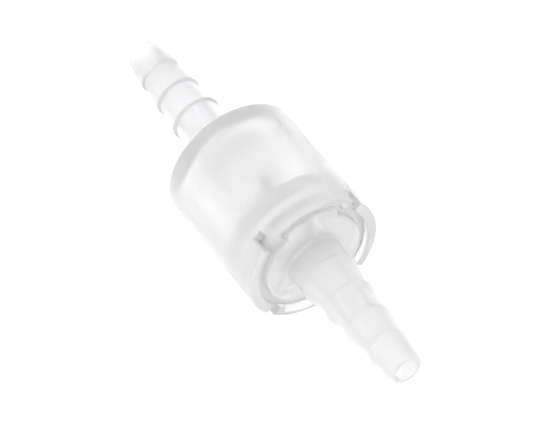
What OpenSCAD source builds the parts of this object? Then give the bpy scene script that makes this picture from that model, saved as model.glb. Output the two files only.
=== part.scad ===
// In-line check valve with a hose barb at each end.
// The flow runs along +X: in at the -X barb, past a spring-loaded poppet, out at the +X barb.
// The valve lies on its barrel, so +Z is up and the origin is the middle of the valve.

/* [Barrel] */
// Length of the barrel between the two barbs
barrel_length = 24.3; // [22:0.1:28]
// Outside radius of the barrel at its closed, inlet end
barrel_inlet_r = 11.2; // [11:0.05:11.4]
// Outside radius of the barrel at its open, outlet end
barrel_outlet_r = 11.45; // [11.3:0.05:11.6]
// Thickness of the closed end wall
end_wall = 2.2; // [1.6:0.1:2.6]
// Inside radius of the barrel
chamber_r = 9.35; // [9.2:0.01:9.4]
// Radius on the outer edge of the closed end
rim_round = 0.5; // [0.3:0.1:0.9]

/* [Hose barbs] */
// Length of a barb from the barrel to its tip
barb_length = 26; // [25:0.5:30]
// Radius of the passage through a barb
bore_r = 2; // [1.6:0.1:2.2]
// Outside radius of a barb at its tip
tip_r = 2.7; // [2.6:0.05:2.9]
// Distance from the tip to the first ridge
first_ridge = 5.3; // [4.8:0.1:5.6]
// Distance from one ridge to the next
ridge_pitch = 5.4; // [5:0.1:5.6]
// Length of the steep back of a ridge
ridge_back = 0.35; // [0.2:0.05:0.6]

/* [Snap skirt] */
// Angle covered by each slot between two of the four fingers
slot_angle = 9; // [6:0.5:12]
// Depth of the slots from the open end
slot_depth = 3; // [2.5:0.1:3.2]
// Length of the hook at the tip of a finger
hook_length = 1.05; // [0.8:0.05:1.3]
// Radius of the opening inside the hooks
hook_r = 9.75; // [9.6:0.05:9.9]
// Radius of the groove behind the hooks
groove_r = 10.4; // [10.25:0.05:10.5]
// Angle covered by the pocket in the top and the bottom finger, where the hook is left out
pocket_angle = 64; // [56:1:68]
// Outer radius of the two pockets
pocket_r = 10.6; // [10.45:0.05:10.7]

/* [Outlet cap] */
// Radius of the cap's flange, which the hooks hold
flange_r = 10.15; // [10.05:0.05:10.25]
// Thickness of the flange
flange_thickness = 1.5; // [1.2:0.1:1.8]
// Radius of the raised middle of the cap
boss_r = 8.35; // [7.8:0.05:8.8]
// Height of the raised middle above the flange
boss_height = 1.25; // [0.8:0.05:1.6]
// Reach of the raised key that points at the top finger
key_r = 9.65; // [9.3:0.05:9.7]
// Angle covered by the key
key_angle = 62; // [50:1:64]
// Length of the plug that goes into the barrel
plug_length = 5.6; // [5:0.1:6]
// Number of ribs inside the cap
cap_ribs = 6; // [4:1:8]

/* [Poppet] */
// How far the poppet opens
poppet_travel = 3; // [2:0.1:3.2]
// Radius of the hole through the valve seat
port_r = 3.6; // [3.4:0.1:3.8]
// Clearance between the poppet's vanes and the seat's hole
vane_clearance = 0.06; // [0.03:0.01:0.1]
// Radius of the poppet's head
head_r = 6; // [5.6:0.1:6.4]
// Number of vanes that guide the poppet
vane_count = 4; // [3:1:6]

/* [Spring] */
// Wire diameter
wire_d = 0.45; // [0.4:0.05:0.55]
// Mean radius of the coils
coil_r = 3.2; // [3:0.1:3.4]
// Coils between the two closed ends
open_coils = 5; // [4:1:6]

/* [Seals] */
// Section radius of the poppet's O-ring
seal_section = 0.75; // [0.7:0.01:0.78]
// Section radius of the O-ring between cap and barrel
joint_section = 0.8; // [0.76:0.01:0.85]

/* [Hidden] */
$fn = 96;

inlet_face = -barrel_length / 2;
open_face = barrel_length / 2;
past = 1; // how far a cut runs past the face that it opens

// Ridge and valley radii of the graduated barb, from the tip inwards
ridge_r = [3.45, 3.85, 4.23, 4.73];
valley_r = [2.98, 3.36, 3.74, 4.42];
ridge_land = 0.12;
neck_r = 4.5;
neck_fillet = 0.5;
tip_chamfer = 0.15;
root_overlap = 0.4;

// The moulding's chamber and seat
chamber_start = inlet_face + end_wall;
seat_height = 2.4;
seat_x = chamber_start + seat_height;
seat_outer_r = 5.6;
seat_cone = 0.7;
seat_root = 0.6;
seat_flare = 0.3;
port_depth = 5.6;
port_taper = 1.4;

// The snap joint, from the open end inwards
snap_play = 0.05;
groove_play = 0.15;
plug_play = 0.08;
hook_lead_in = 0.2;
flange_face = open_face - hook_length - snap_play;
flange_back = flange_face - flange_thickness;
groove_back = flange_back - groove_play;
slot_bottom = open_face - slot_depth;
plug_r = chamber_r - plug_play;
plug_end = flange_back - plug_length;
plug_chamfer = 0.4;
flange_chamfer = [0.25, 0.35];
boss_chamfer = 0.2;
boss_foot = 0.1;
cap_wall = 2.1;
cup_wall = 0.75;
ring_groove_width = 2;
ring_groove_x = flange_back - 2.1;
ring_groove_depth = 1.35;
ring_groove_r = chamber_r - ring_groove_depth;
boss_face = flange_face + boss_height;
cap_floor = boss_face - cap_wall;
cup_r = ring_groove_r - cup_wall;
spring_ring_r = coil_r + wire_d / 2 + 0.2;
spring_ring_wall = 0.8;
spring_ring_height = 1.3;
rib_width = 1.1;
rib_r = spring_ring_r + spring_ring_wall / 2;
rib_overlap = 0.3;

// Angles are measured from +Y towards +Z
slot_middles = [45, 135, 225, 315];
pocket_middles = [90, 270];
key_middle = 90;
key_overlap = [1, 0.5];
edge_round = 0.55;
edge_steps = 5;

// Poppet and seal
rest_gap = 0.05;
wire_gap = 0.02;
ring_r = port_r + 0.85;
ring_x = seat_x + rest_gap + seal_section;
head_front = ring_x + seal_section;
head_thickness = 1.5;
head_back = head_front + head_thickness;
vane_r = port_r - vane_clearance;
vane_end_gap = 0.5;
vane_front = seat_x - port_depth + vane_end_gap;
vane_width = 0.9;
lip_r = ring_r - 0.4;
groove_floor_r = ring_r - seal_section - 0.01;
nose_r = 1.6;
head_chamfer = 0.25;
pilot_r = coil_r - wire_d / 2 - 0.2;
pilot_height = 1.4;
sleeve_r = 5.1;
sleeve_inner_r = coil_r + wire_d / 2 + 0.35;
stop_gap = 0.15;
sleeve_end = plug_end - poppet_travel - stop_gap;
sleeve_lead_in = [0.3, 0.4];
sleeve_chamfer = 0.15;
sleeve_slot = 2;
sleeve_slot_depth = 3.4;

// Spring
spring_start = head_back + wire_d / 2 + wire_gap;
spring_end = cap_floor - wire_d / 2 - wire_gap;
closed_coils = 1.25;
closed_pitch = 1.08 * wire_d;
turns = open_coils + 2 * closed_coils;
coil_steps = 28;
wire_sides = 8;

// The flow arrow, beside the top finger: stations of its tail, its head and its point
arrow_angle = 55;
arrow_tail = -9.4;
arrow_head = -6.4;
arrow_point = -3.9;
arrow_half = [0.55, 1.6];
arrow_height = 0.2;

// Turns a shape made along +Z so that it runs along +X, with its angles from +Y towards +Z
module along_flow() {
    rotate([0, 90, 0])
    rotate([0, 0, 90])
    children();
}

// Outline of one barb: radius against distance from the tip, ending on the axis side of the neck
function barb_outline(length) = concat(
    [[bore_r, 0], [tip_r - tip_chamfer, 0], [tip_r, tip_chamfer]],
    [for (i = [0 : len(ridge_r) - 1]) each [
        [ridge_r[i], first_ridge + i * ridge_pitch - ridge_land],
        [ridge_r[i], first_ridge + i * ridge_pitch],
        [valley_r[i], first_ridge + i * ridge_pitch + ridge_back]
    ]],
    [[neck_r, first_ridge + (len(ridge_r) - 1) * ridge_pitch + 2 * ridge_back]],
    [[neck_r, length - neck_fillet], [neck_r + neck_fillet, length]],
    [[neck_r + neck_fillet, length + root_overlap], [bore_r, length + root_overlap]]
);

// A hose barb that points along -Z, with its root at the origin
module barb() {
    translate([0, 0, -barb_length])
    rotate_extrude()
    polygon(barb_outline(barb_length));
}

// A block swept around the axis about a middle angle, between two radii and two stations
module ring_block(middle, sweep, r_in, r_out, z_low, z_high) {
    rotate_extrude(angle = sweep, start = middle - sweep / 2)
    translate([r_in, z_low])
    square([r_out - r_in, z_high - z_low]);
}

// Points of an arc about a centre, from one angle to another
function arc(centre, r, from, to) = [
    for (i = [0 : edge_steps])
    let (a = from + (to - from) * i / edge_steps)
    centre + r * [cos(a), sin(a)]
];

// Half section of the barrel, its end wall and its snap groove
module barrel_section() {
    difference() {
        polygon(concat(
            [[bore_r, inlet_face]],
            arc([barrel_inlet_r - rim_round, inlet_face + rim_round], rim_round, -90, 0),
            arc([barrel_outlet_r - edge_round, open_face - edge_round], edge_round, 0, 90),
            [[bore_r, open_face]]
        ));
        translate([0, chamber_start])
        square([chamber_r, barrel_length]);
        polygon([
            [chamber_r - past, groove_back],
            [groove_r, groove_back],
            [groove_r, open_face - hook_length],
            [hook_r, open_face - hook_length],
            [hook_r, open_face - hook_lead_in],
            [hook_r + hook_lead_in, open_face],
            [hook_r + hook_lead_in, open_face + past],
            [chamber_r - past, open_face + past]
        ]);
    }
}

// Raised ring around the port, with the cone that the poppet's ring closes on
module valve_seat() {
    rotate_extrude()
    polygon([
        [port_r, chamber_start - seat_root],
        [seat_outer_r + seat_flare, chamber_start - seat_root],
        [seat_outer_r, seat_x],
        [port_r + seat_cone, seat_x],
        [port_r, seat_x - seat_cone]
    ]);
}

// Flow arrow raised on the barrel, pointing to the outlet
module flow_arrow() {
    intersection() {
        rotate([0, 0, arrow_angle])
        rotate([90, 0, 90])
        linear_extrude(barrel_outlet_r + past)
        polygon([
            [-arrow_half[0], arrow_tail],
            [arrow_half[0], arrow_tail],
            [arrow_half[0], arrow_head],
            [arrow_half[1], arrow_head],
            [0, arrow_point],
            [-arrow_half[1], arrow_head],
            [-arrow_half[0], arrow_head]
        ]);
        difference() {
            cylinder(h = barrel_length, r = barrel_inlet_r + arrow_height, center = true);
            cylinder(h = barrel_length + past, r = barrel_inlet_r - arrow_half[0], center = true);
        }
    }
}

module inlet_body() {
    color([0.93, 0.94, 0.94, 0.85])
    along_flow()
    difference() {
        union() {
            rotate_extrude() barrel_section();
            valve_seat();
            translate([0, 0, inlet_face]) barb();
            flow_arrow();
        }
        translate([0, 0, seat_x - port_depth])
        cylinder(h = port_depth, r = port_r);
        translate([0, 0, seat_x - port_depth - port_taper])
        cylinder(h = port_taper, r1 = bore_r, r2 = port_r);
        for (middle = slot_middles)
            slot(middle);
        for (middle = pocket_middles)
            pocket(middle);
    }
}

// Slot between two fingers, cut through the wall from the open end
module slot(middle) {
    ring_block(middle, slot_angle, chamber_r - past, barrel_outlet_r + past, slot_bottom, open_face + past);
}

// Arc-shaped pocket that runs from the open end back to the flange's groove
module pocket(middle) {
    ring_block(middle, pocket_angle, chamber_r, pocket_r, groove_back, open_face + past);
}

// Half section of the cap without its barb
module cap_section() {
    difference() {
        polygon([
            [0, plug_end],
            [plug_r - plug_chamfer, plug_end],
            [plug_r, plug_end + plug_chamfer],
            [plug_r, flange_back],
            [flange_r - flange_chamfer[0], flange_back],
            [flange_r, flange_back + flange_chamfer[1]],
            [flange_r, flange_face],
            [boss_r + boss_foot, flange_face],
            [boss_r, flange_face + boss_chamfer],
            [boss_r, boss_face - boss_chamfer],
            [boss_r - boss_chamfer, boss_face],
            [0, boss_face]
        ]);
        translate([0, plug_end - past])
        square([cup_r, cap_floor - plug_end + past]);
        translate([ring_groove_r, ring_groove_x - ring_groove_width / 2])
        square([ring_groove_depth, ring_groove_width]);
    }
}

module outlet_cap() {
    color([0.93, 0.94, 0.94, 0.85])
    along_flow() {
        difference() {
            union() {
                rotate_extrude() cap_section();
                translate([0, 0, open_face])
                mirror([0, 0, 1])
                barb();
                key();
                spring_ring();
                for (i = [0 : cap_ribs - 1])
                    rotate([0, 0, (i + 0.5) * 360 / cap_ribs])
                    translate([rib_r, -rib_width / 2, plug_end])
                    cube([cup_r - rib_r + rib_overlap, rib_width, cap_floor - plug_end + rib_overlap]);
            }
            translate([0, 0, cap_floor - past])
            cylinder(h = cap_wall + barb_length + 2 * past, r = bore_r);
        }
    }
}

// Raised arc beside the boss that reaches towards the top finger
module key() {
    root_r = boss_r - key_overlap[0];
    ring_block(key_middle, key_angle, root_r, key_r, flange_face - key_overlap[1], boss_face);
}

// Ring inside the cap that keeps the spring's end in the middle
module spring_ring() {
    difference() {
        translate([0, 0, cap_floor - spring_ring_height])
        cylinder(h = spring_ring_height + rib_overlap, r = spring_ring_r + spring_ring_wall);
        translate([0, 0, cap_floor - spring_ring_height - past])
        cylinder(h = spring_ring_height + past, r = spring_ring_r);
    }
}

module poppet() {
    color([0.95, 0.95, 0.93])
    along_flow() {
        // Nose with the seal's groove, head, spring sleeve and pilot
        difference() {
            rotate_extrude()
            polygon([
                [0, seat_x - 1.3],
                [nose_r, seat_x - 1.2],
                [lip_r - 0.75, seat_x - 0.7],
                [lip_r, seat_x - 0.05],
                [lip_r, seat_x + 0.07],
                [groove_floor_r, seat_x + 0.12],
                [groove_floor_r, head_front],
                [head_r - head_chamfer, head_front],
                [head_r, head_front + head_chamfer],
                [head_r, head_back - 0.35],
                [head_r - 0.5, head_back],
                [sleeve_r, head_back + 0.25],
                [sleeve_r, sleeve_end - sleeve_chamfer],
                [sleeve_r - sleeve_chamfer, sleeve_end],
                [sleeve_inner_r + sleeve_lead_in[0], sleeve_end],
                [sleeve_inner_r, sleeve_end - sleeve_lead_in[1]],
                [sleeve_inner_r, head_back],
                [pilot_r, head_back],
                [pilot_r, head_back + pilot_height - 0.5],
                [pilot_r - 0.5, head_back + pilot_height],
                [0, head_back + pilot_height]
            ]);
            for (i = [0 : vane_count - 1])
                rotate([0, 0, i * 360 / vane_count])
                translate([0, -sleeve_slot / 2, sleeve_end - sleeve_slot_depth])
                cube([2 * sleeve_r, sleeve_slot, sleeve_slot_depth + past]);
        }
        // Vanes that slide in the port
        intersection() {
            translate([0, 0, vane_front])
            cylinder(h = seat_x - vane_front, r = vane_r);
            for (i = [0 : vane_count - 1])
                rotate([0, 0, (i + 0.5) * 360 / vane_count])
                translate([0, -vane_width / 2, vane_front])
                cube([2 * vane_r, vane_width, seat_x - vane_front]);
        }
    }
}

module poppet_seal() {
    color([0.9, 0.88, 0.82])
    along_flow()
    translate([0, 0, ring_x])
    rotate_extrude()
    translate([ring_r, 0])
    circle(r = seal_section, $fn = 48);
}

// Section of an O-ring squeezed between the cap's groove and the barrel
module joint_seal() {
    color([0.9, 0.88, 0.82])
    along_flow()
    translate([0, 0, ring_groove_x])
    rotate_extrude()
    intersection() {
        translate([(ring_groove_r + chamber_r) / 2, 0])
        circle(r = joint_section, $fn = 48);
        translate([ring_groove_r + 0.01, -joint_section])
        square([chamber_r - ring_groove_r - 0.02, 2 * joint_section]);
    }
}

// Station along the spring for a turn counted from its inlet end
function coil_station(turn) =
    turn < closed_coils ? spring_start + turn * closed_pitch
    : turn > turns - closed_coils ? spring_end - (turns - turn) * closed_pitch
    : let (low = spring_start + closed_coils * closed_pitch)
      let (high = spring_end - closed_coils * closed_pitch)
      low + (turn - closed_coils) / open_coils * (high - low);

// Point on the wire's surface
function wire_point(turn, side) =
    let (a = 360 * turn)
    let (b = 360 * side / wire_sides)
    let (r = coil_r + wire_d / 2 * cos(b))
    [r * cos(a), r * sin(a), coil_station(turn) + wire_d / 2 * sin(b)];

module return_spring() {
    rings = ceil(turns * coil_steps);
    points = [
        for (i = [0 : rings])
        for (s = [0 : wire_sides - 1])
        wire_point(turns * i / rings, s)
    ];
    walls = [
        for (i = [0 : rings - 1])
        for (s = [0 : wire_sides - 1])
        let (n = (s + 1) % wire_sides)
        [i * wire_sides + s, (i + 1) * wire_sides + s, (i + 1) * wire_sides + n, i * wire_sides + n]
    ];
    ends = [
        [for (s = [0 : wire_sides - 1]) s],
        [for (s = [wire_sides - 1 : -1 : 0]) rings * wire_sides + s]
    ];
    color([0.72, 0.73, 0.75])
    along_flow()
    polyhedron(points = points, faces = concat(walls, ends));
}

inlet_body();
outlet_cap();
poppet();
poppet_seal();
return_spring();
joint_seal();
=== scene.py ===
"""In-line check valve with a graduated hose barb at each end: surfaces, finishes and studio.

The classes work in millimetres and Blender in metres. The flow runs along +X, and angles around the
axis are measured from +Y towards +Z. An outline is a closed line of (station along the flow, radius)
points that is turned around the axis.
"""
import logging
import math
from dataclasses import dataclass, field
from enum import Enum
from typing import Callable, Sequence

import bmesh
import bpy
import numpy as np
from mathutils import Matrix, Vector

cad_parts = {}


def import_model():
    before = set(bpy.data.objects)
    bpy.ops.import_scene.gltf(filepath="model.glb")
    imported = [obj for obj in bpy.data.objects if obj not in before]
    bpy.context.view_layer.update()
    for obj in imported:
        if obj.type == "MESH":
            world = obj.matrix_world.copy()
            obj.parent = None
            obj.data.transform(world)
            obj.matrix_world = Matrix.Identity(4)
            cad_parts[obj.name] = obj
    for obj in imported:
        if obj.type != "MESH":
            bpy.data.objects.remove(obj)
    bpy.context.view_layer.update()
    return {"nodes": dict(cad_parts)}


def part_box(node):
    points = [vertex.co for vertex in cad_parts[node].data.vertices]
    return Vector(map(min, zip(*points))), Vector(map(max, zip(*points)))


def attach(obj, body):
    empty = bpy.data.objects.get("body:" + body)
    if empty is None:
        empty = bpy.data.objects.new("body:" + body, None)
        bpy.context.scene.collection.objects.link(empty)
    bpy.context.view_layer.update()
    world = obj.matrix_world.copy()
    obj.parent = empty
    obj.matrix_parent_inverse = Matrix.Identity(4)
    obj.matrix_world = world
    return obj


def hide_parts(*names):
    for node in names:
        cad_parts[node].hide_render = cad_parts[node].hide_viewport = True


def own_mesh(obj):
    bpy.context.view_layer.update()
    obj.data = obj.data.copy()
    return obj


MM = 0.001
FULL_TURN = 360.0
LOG = logging.getLogger("check_valve")
COLUMN_STEP = 2.5  # degrees between the even columns of a moulding
SEAM_COLUMNS = np.array([-3, -2, -1.2, -0.6, 0, 0.6, 1.2, 2, 3.0])  # degrees either side of a parting line
SEAM_MIDDLES = (0, 180)
END_SHARES = np.array([0, 0.02, 0.08, 0.18, 0.32, 0.5, 0.75, 1.0])  # of a rounded end, closer where it is steeper


# ------------------------------------------------------------------ outlines

@dataclass(frozen=True)
class Corner:
    """A corner of an outline.

    Attributes:
        x: Station along the flow, in mm.
        r: Distance from the axis, in mm.
        rounding: Radius of the arc that replaces the corner, in mm.
        spacing: Longest gap between points on the run after the corner, in mm.
    """

    x: float
    r: float
    rounding: float = 0.0
    spacing: float = 0.9


def arc_points(before: np.ndarray, here: np.ndarray, after: np.ndarray, rounding: float) -> np.ndarray:
    """Rounds one corner.

    The arc touches both edges at rounding / tan(half the angle between them), and its points turn
    evenly from the first touching point to the second about the arc's centre.

    Args:
        before: The corner before this one.
        here: The corner itself.
        after: The corner after this one.
        rounding: Radius of the arc.

    Returns:
        The arc's points, one row each.
    """
    back, ahead = before - here, after - here
    room = 0.49 * min(np.linalg.norm(back), np.linalg.norm(ahead))
    back, ahead = back / np.linalg.norm(back), ahead / np.linalg.norm(ahead)
    angle = math.acos(float(np.clip(back @ ahead, -1, 1)))
    reach = min(rounding / math.tan(angle / 2), room)
    centre = here + (back + ahead) / np.linalg.norm(back + ahead) * reach / math.cos(angle / 2)
    sweep = math.pi - angle
    steps = max(2, int(math.ceil(sweep / math.radians(18))))
    turn = np.linspace(0, sweep, steps + 1)[:, None]
    first, last = here + back * reach - centre, here + ahead * reach - centre
    return centre + (np.sin(sweep - turn) * first + np.sin(turn) * last) / math.sin(sweep)


def outline(corners: Sequence[Corner]) -> np.ndarray:
    """Joins rounded corners with straight runs of evenly spaced points.

    Args:
        corners: The corners in order. The first and the last are never rounded.

    Returns:
        The outline's points, one (x, r) row each.
    """
    places = np.array([(c.x, c.r) for c in corners])
    parts, spacings = [], []
    for i, corner in enumerate(corners):
        inner = 0 < i < len(corners) - 1 and corner.rounding > 0
        arc = arc_points(places[i - 1], places[i], places[i + 1], corner.rounding) if inner else places[i:i + 1]
        parts.append(arc)
        spacings += [np.inf] * (len(arc) - 1) + [corner.spacing]
    line = np.vstack(parts)
    runs = np.diff(line, axis=0)
    counts = np.maximum(1, np.ceil(np.linalg.norm(runs, axis=1) / np.array(spacings[:-1]))).astype(int)
    owner = np.repeat(np.arange(len(runs)), counts)
    step = np.arange(counts.sum()) - np.repeat(np.cumsum(counts) - counts, counts)
    points = line[owner] + runs[owner] * (step / counts[owner])[:, None]
    return np.vstack([points, line[-1:]])


def matched(line: np.ndarray, pattern: np.ndarray) -> np.ndarray:
    """Gives a line as many points as a pattern, at the same shares of its length.

    Args:
        line: The line to take points from.
        pattern: The line whose spacing is copied.

    Returns:
        Points along the first line.
    """
    def travelled(points: np.ndarray) -> np.ndarray:
        """Share of the length that lies before each point."""
        length = np.concatenate([[0], np.cumsum(np.linalg.norm(np.diff(points, axis=0), axis=1))])
        return length / length[-1]
    wanted, known = travelled(pattern), travelled(line)
    return np.stack([np.interp(wanted, known, line[:, k]) for k in range(2)], axis=1)


def eased(distance: np.ndarray, reach: float) -> np.ndarray:
    """Quarter circle: rises steeply from 0 at distance 0 and levels out at 1 where distance is reach."""
    return np.sqrt(1 - (1 - np.clip(distance / reach, 0, 1)) ** 2)


def turned_from(angles: np.ndarray, middle: float) -> np.ndarray:
    """Angle between each column and a middle, in degrees, from -180 to 180."""
    return (angles - middle + 180) % FULL_TURN - 180


def nearest_turn(angles: np.ndarray, middles: Sequence[float]) -> np.ndarray:
    """Angle between each column and the nearest of several middles, in degrees."""
    return np.abs([turned_from(angles, middle) for middle in middles]).min(axis=0)


def both_sides(middles: Sequence[float], reaches: Sequence[float]) -> list[np.ndarray]:
    """Angles at each reach to either side of each middle, in degrees."""
    return [np.array([middle - reach, middle + reach]) for middle in middles for reach in reaches]


def ring_pairs(count: int) -> np.ndarray:
    """Each column of a closed ring with the one after it."""
    return np.stack([np.arange(count), np.roll(np.arange(count), -1)], axis=1)


def columns(step: float, extras: Sequence[np.ndarray]) -> np.ndarray:
    """Lays out the columns of a turned surface.

    Even columns are used all round, apart from those that crowd one of the extra columns.

    Args:
        step: Angle between the even columns, in degrees.
        extras: Angles that must be columns, in degrees.

    Returns:
        The columns' angles in rising order.
    """
    needed = np.unique(np.round(np.concatenate(extras) % FULL_TURN, 4))
    even = np.arange(0, FULL_TURN, step)
    gaps = np.abs((even[:, None] - needed[None] + 180) % FULL_TURN - 180).min(axis=1)
    return np.sort(np.concatenate([needed, even[gaps > 0.45 * step]]))


# ------------------------------------------------------------------ meshes

def outward(points: np.ndarray) -> np.ndarray:
    """Unit normals of closed outlines, pointing away from the material.

    Each is square to the line between a point's two neighbours, with the sign that the enclosed
    area (half the sum of x * next r - r * next x) gives.

    Args:
        points: Outlines, shaped (columns, points, 2).

    Returns:
        Normals in the same shape.
    """
    run = np.roll(points, -1, axis=1) - np.roll(points, 1, axis=1)
    normal = np.stack([run[..., 1], -run[..., 0]], axis=-1)
    following = np.roll(points[0], -1, axis=0)
    area = np.sum(points[0, :, 0] * following[:, 1] - points[0, :, 1] * following[:, 0])
    return np.sign(area) * normal / np.linalg.norm(normal, axis=-1, keepdims=True)


def turned(points: np.ndarray, angles: np.ndarray) -> np.ndarray:
    """Places outlines around the axis: (x, r cos angle, r sin angle).

    Args:
        points: One outline a column, shaped (columns, points, 2).
        angles: The columns' angles in degrees.

    Returns:
        Vertices, shaped (columns * points, 3).
    """
    turn = np.radians(angles)[:, None]
    r = points[..., 1]
    return np.stack([points[..., 0], r * np.cos(turn), r * np.sin(turn)], axis=-1).reshape(-1, 3)


def quads(column_pairs: np.ndarray, rows: np.ndarray, count: int, next_rows: np.ndarray) -> np.ndarray:
    """Faces between pairs of neighbouring columns.

    Args:
        column_pairs: Index of the first column of each pair and of the second.
        rows: Index of the first row of each strip.
        count: Number of points in a column.
        next_rows: Index of the second row of each strip.

    Returns:
        Four vertex indices a face.
    """
    left, right = (column_pairs[:, k, None] * count for k in range(2))
    return np.stack([left + rows, left + next_rows, right + next_rows, right + rows], axis=-1).reshape(-1, 4)


def make_piece(name: str, vertices: np.ndarray, faces: Sequence[Sequence[int]]) -> bpy.types.Object:
    """Puts worked-out vertices and faces into a smooth mesh whose faces point outwards.

    Args:
        name: The piece's name.
        vertices: Places in mm.
        faces: Vertex indices of each face.

    Returns:
        The new object, at the origin.
    """
    used, compact = np.unique(np.concatenate([np.ravel(f) for f in faces]), return_inverse=True)
    lengths = np.array([len(f) for f in faces])
    split = np.split(compact, np.cumsum(lengths)[:-1])
    mesh = bpy.data.meshes.new(name)
    mesh.from_pydata((vertices[used] * MM).tolist(), [], [part.tolist() for part in split])
    build = bmesh.new()
    build.from_mesh(mesh)
    if build.calc_volume(signed=True) < 0:
        bmesh.ops.reverse_faces(build, faces=build.faces)
    build.to_mesh(mesh)
    build.free()
    mesh.polygons.foreach_set("use_smooth", np.ones(len(mesh.polygons), dtype=bool))
    mesh.update()
    piece = bpy.data.objects.new(name, mesh)
    bpy.context.scene.collection.objects.link(piece)
    return piece


def revolve(name: str, points: np.ndarray, angles: np.ndarray) -> bpy.types.Object:
    """Turns closed outlines, one a column, into a ring-shaped closed surface.

    Args:
        name: The piece's name.
        points: One outline a column, shaped (columns, points, 2).
        angles: The columns' angles in degrees.

    Returns:
        The new object.
    """
    count = points.shape[1]
    rows = np.arange(count)
    faces = quads(ring_pairs(len(angles)), rows, count, (rows + 1) % count).tolist()
    return make_piece(name, turned(points, angles), faces)


def fit_out(piece: bpy.types.Object, node: str, body: str, finish: "Finish") -> None:
    """Lets a piece stand for a CAD node, move with its body and wear its finish."""
    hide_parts(node)
    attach(piece, body)
    piece.data.materials.append(finish.build())
    LOG.info("%s: %d faces, rides on %s", piece.name, len(piece.data.polygons), body)


# ------------------------------------------------------------------ parts of the outlines

@dataclass(frozen=True)
class HoseBarb:
    """A barb with four ridges that grow towards its root.

    Attributes:
        length: From the tip to the barrel.
        bore_r: Radius of the passage.
        tip_r: Outside radius at the tip.
        ridge_r: Radius of each ridge, from the tip.
        valley_r: Radius behind each ridge.
        first_ridge: From the tip to the first ridge.
        pitch: From one ridge to the next.
        back: Length of a ridge's steep back.
        neck_r: Radius of the neck.
        root_rounding: Fillet where the neck meets the wall.
        seam_height: Height of the mould's parting line.
        seam_width: Width of the mould's parting line.
    """

    length: float
    bore_r: float = 2.0
    tip_r: float = 2.7
    ridge_r: tuple[float, ...] = (3.45, 3.85, 4.23, 4.73)
    valley_r: tuple[float, ...] = (2.98, 3.36, 3.74, 4.42)
    first_ridge: float = 5.3
    pitch: float = 5.4
    back: float = 0.35
    neck_r: float = 4.5
    root_rounding: float = 0.55
    seam_height: float = 0.035
    seam_width: float = 0.09

    def corners(self, tip_x: float, way: int) -> list[Corner]:
        """Lists the corners from the passage's edge at the tip to the root.

        Args:
            tip_x: Station of the tip.
            way: 1 where the root lies towards +X from the tip, -1 where it lies towards -X.

        Returns:
            The corners, with the root as the last.
        """
        found = [Corner(tip_x, self.bore_r, 0.12), Corner(tip_x, self.tip_r, 0.22)]
        for i, (ridge, valley) in enumerate(zip(self.ridge_r, self.valley_r)):
            place = self.first_ridge + i * self.pitch
            found.append(Corner(tip_x + way * place, ridge, 0.1))
            found.append(Corner(tip_x + way * (place + self.back), valley, 0.16))
        neck = self.first_ridge + (len(self.ridge_r) - 1) * self.pitch + 2 * self.back
        found.append(Corner(tip_x + way * neck, self.neck_r, 0.3))
        found.append(Corner(tip_x + way * self.length, self.neck_r, self.root_rounding))
        return found

    def seam(self, points: np.ndarray, angles: np.ndarray, low: float, high: float) -> np.ndarray:
        """Height of the parting line: a bell of seam_width on each side of the horizontal plane.

        Args:
            points: Outlines, shaped (columns, points, 2).
            angles: The columns' angles in degrees.
            low: Lowest station of the barb.
            high: Highest station of the barb.

        Returns:
            How far each point is raised.
        """
        x, r = points[..., 0], points[..., 1]
        side = nearest_turn(angles, SEAM_MIDDLES)
        arc = np.radians(side)[:, None] * r
        on_barb = (x > low) & (x < high) & (r > self.tip_r - 0.1)
        return np.where(on_barb, self.seam_height * np.exp(-((arc / self.seam_width) ** 2)), 0)


@dataclass(frozen=True)
class FlowArrow:
    """Arrow raised on the barrel that points to the outlet.

    Attributes:
        angle: Where the arrow sits around the barrel.
        tail: Station of its tail.
        head: Station of the head's broad end.
        point: Station of its point.
        shaft_half: Half the width of the shaft.
        head_half: Half the width of the head.
        height: Height above the barrel.
        slope: Width of its sloping sides.
    """

    angle: float = 55.0
    tail: float = -9.4
    head: float = -6.4
    point: float = -3.9
    shaft_half: float = 0.55
    head_half: float = 1.6
    height: float = 0.13
    slope: float = 0.16

    def shape(self) -> np.ndarray:
        """Corners of the arrow as (station, distance around the barrel) rows."""
        half = np.array([
            (self.tail, self.shaft_half), (self.head, self.shaft_half), (self.head, self.head_half), (self.point, 0),
        ])
        return np.vstack([half, (half[:3] * (1, -1))[::-1]])

    def relief(self, along: np.ndarray, around: np.ndarray) -> np.ndarray:
        """Height of the arrow over the unrolled barrel.

        The distance to the nearest edge is negative inside the outline, and the height falls from
        full to nothing across the slope.

        Args:
            along: Station of each point.
            around: Distance of each point around the barrel from the arrow's middle.

        Returns:
            The height of each point.
        """
        shape = self.shape()
        place = np.stack([along, around], axis=-1)
        nearest = np.full(along.shape, np.inf)
        inside = np.zeros(along.shape, dtype=bool)
        for start, end in zip(shape, np.roll(shape, -1, axis=0)):
            edge = end - start
            share = np.clip((place - start) @ edge / (edge @ edge), 0, 1)
            nearest = np.minimum(nearest, np.linalg.norm(place - start - share[..., None] * edge, axis=-1))
            if edge[1] != 0:
                crosses = (start[1] > around) != (end[1] > around)
                inside ^= crosses & (along < start[0] + edge[0] * (around - start[1]) / edge[1])
        rise = np.clip(0.5 - np.where(inside, -nearest, nearest) / self.slope, 0, 1)
        return self.height * rise * rise * (3 - 2 * rise)


# ------------------------------------------------------------------ finishes

class Slot(Enum):
    """The record's material slots."""

    BODY = "natural_polypropylene"
    CAP = "cap_polypropylene"
    POPPET = "poppet_polypropylene"
    SEAL = "silicone"
    SPRING = "spring_steel"


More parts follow.
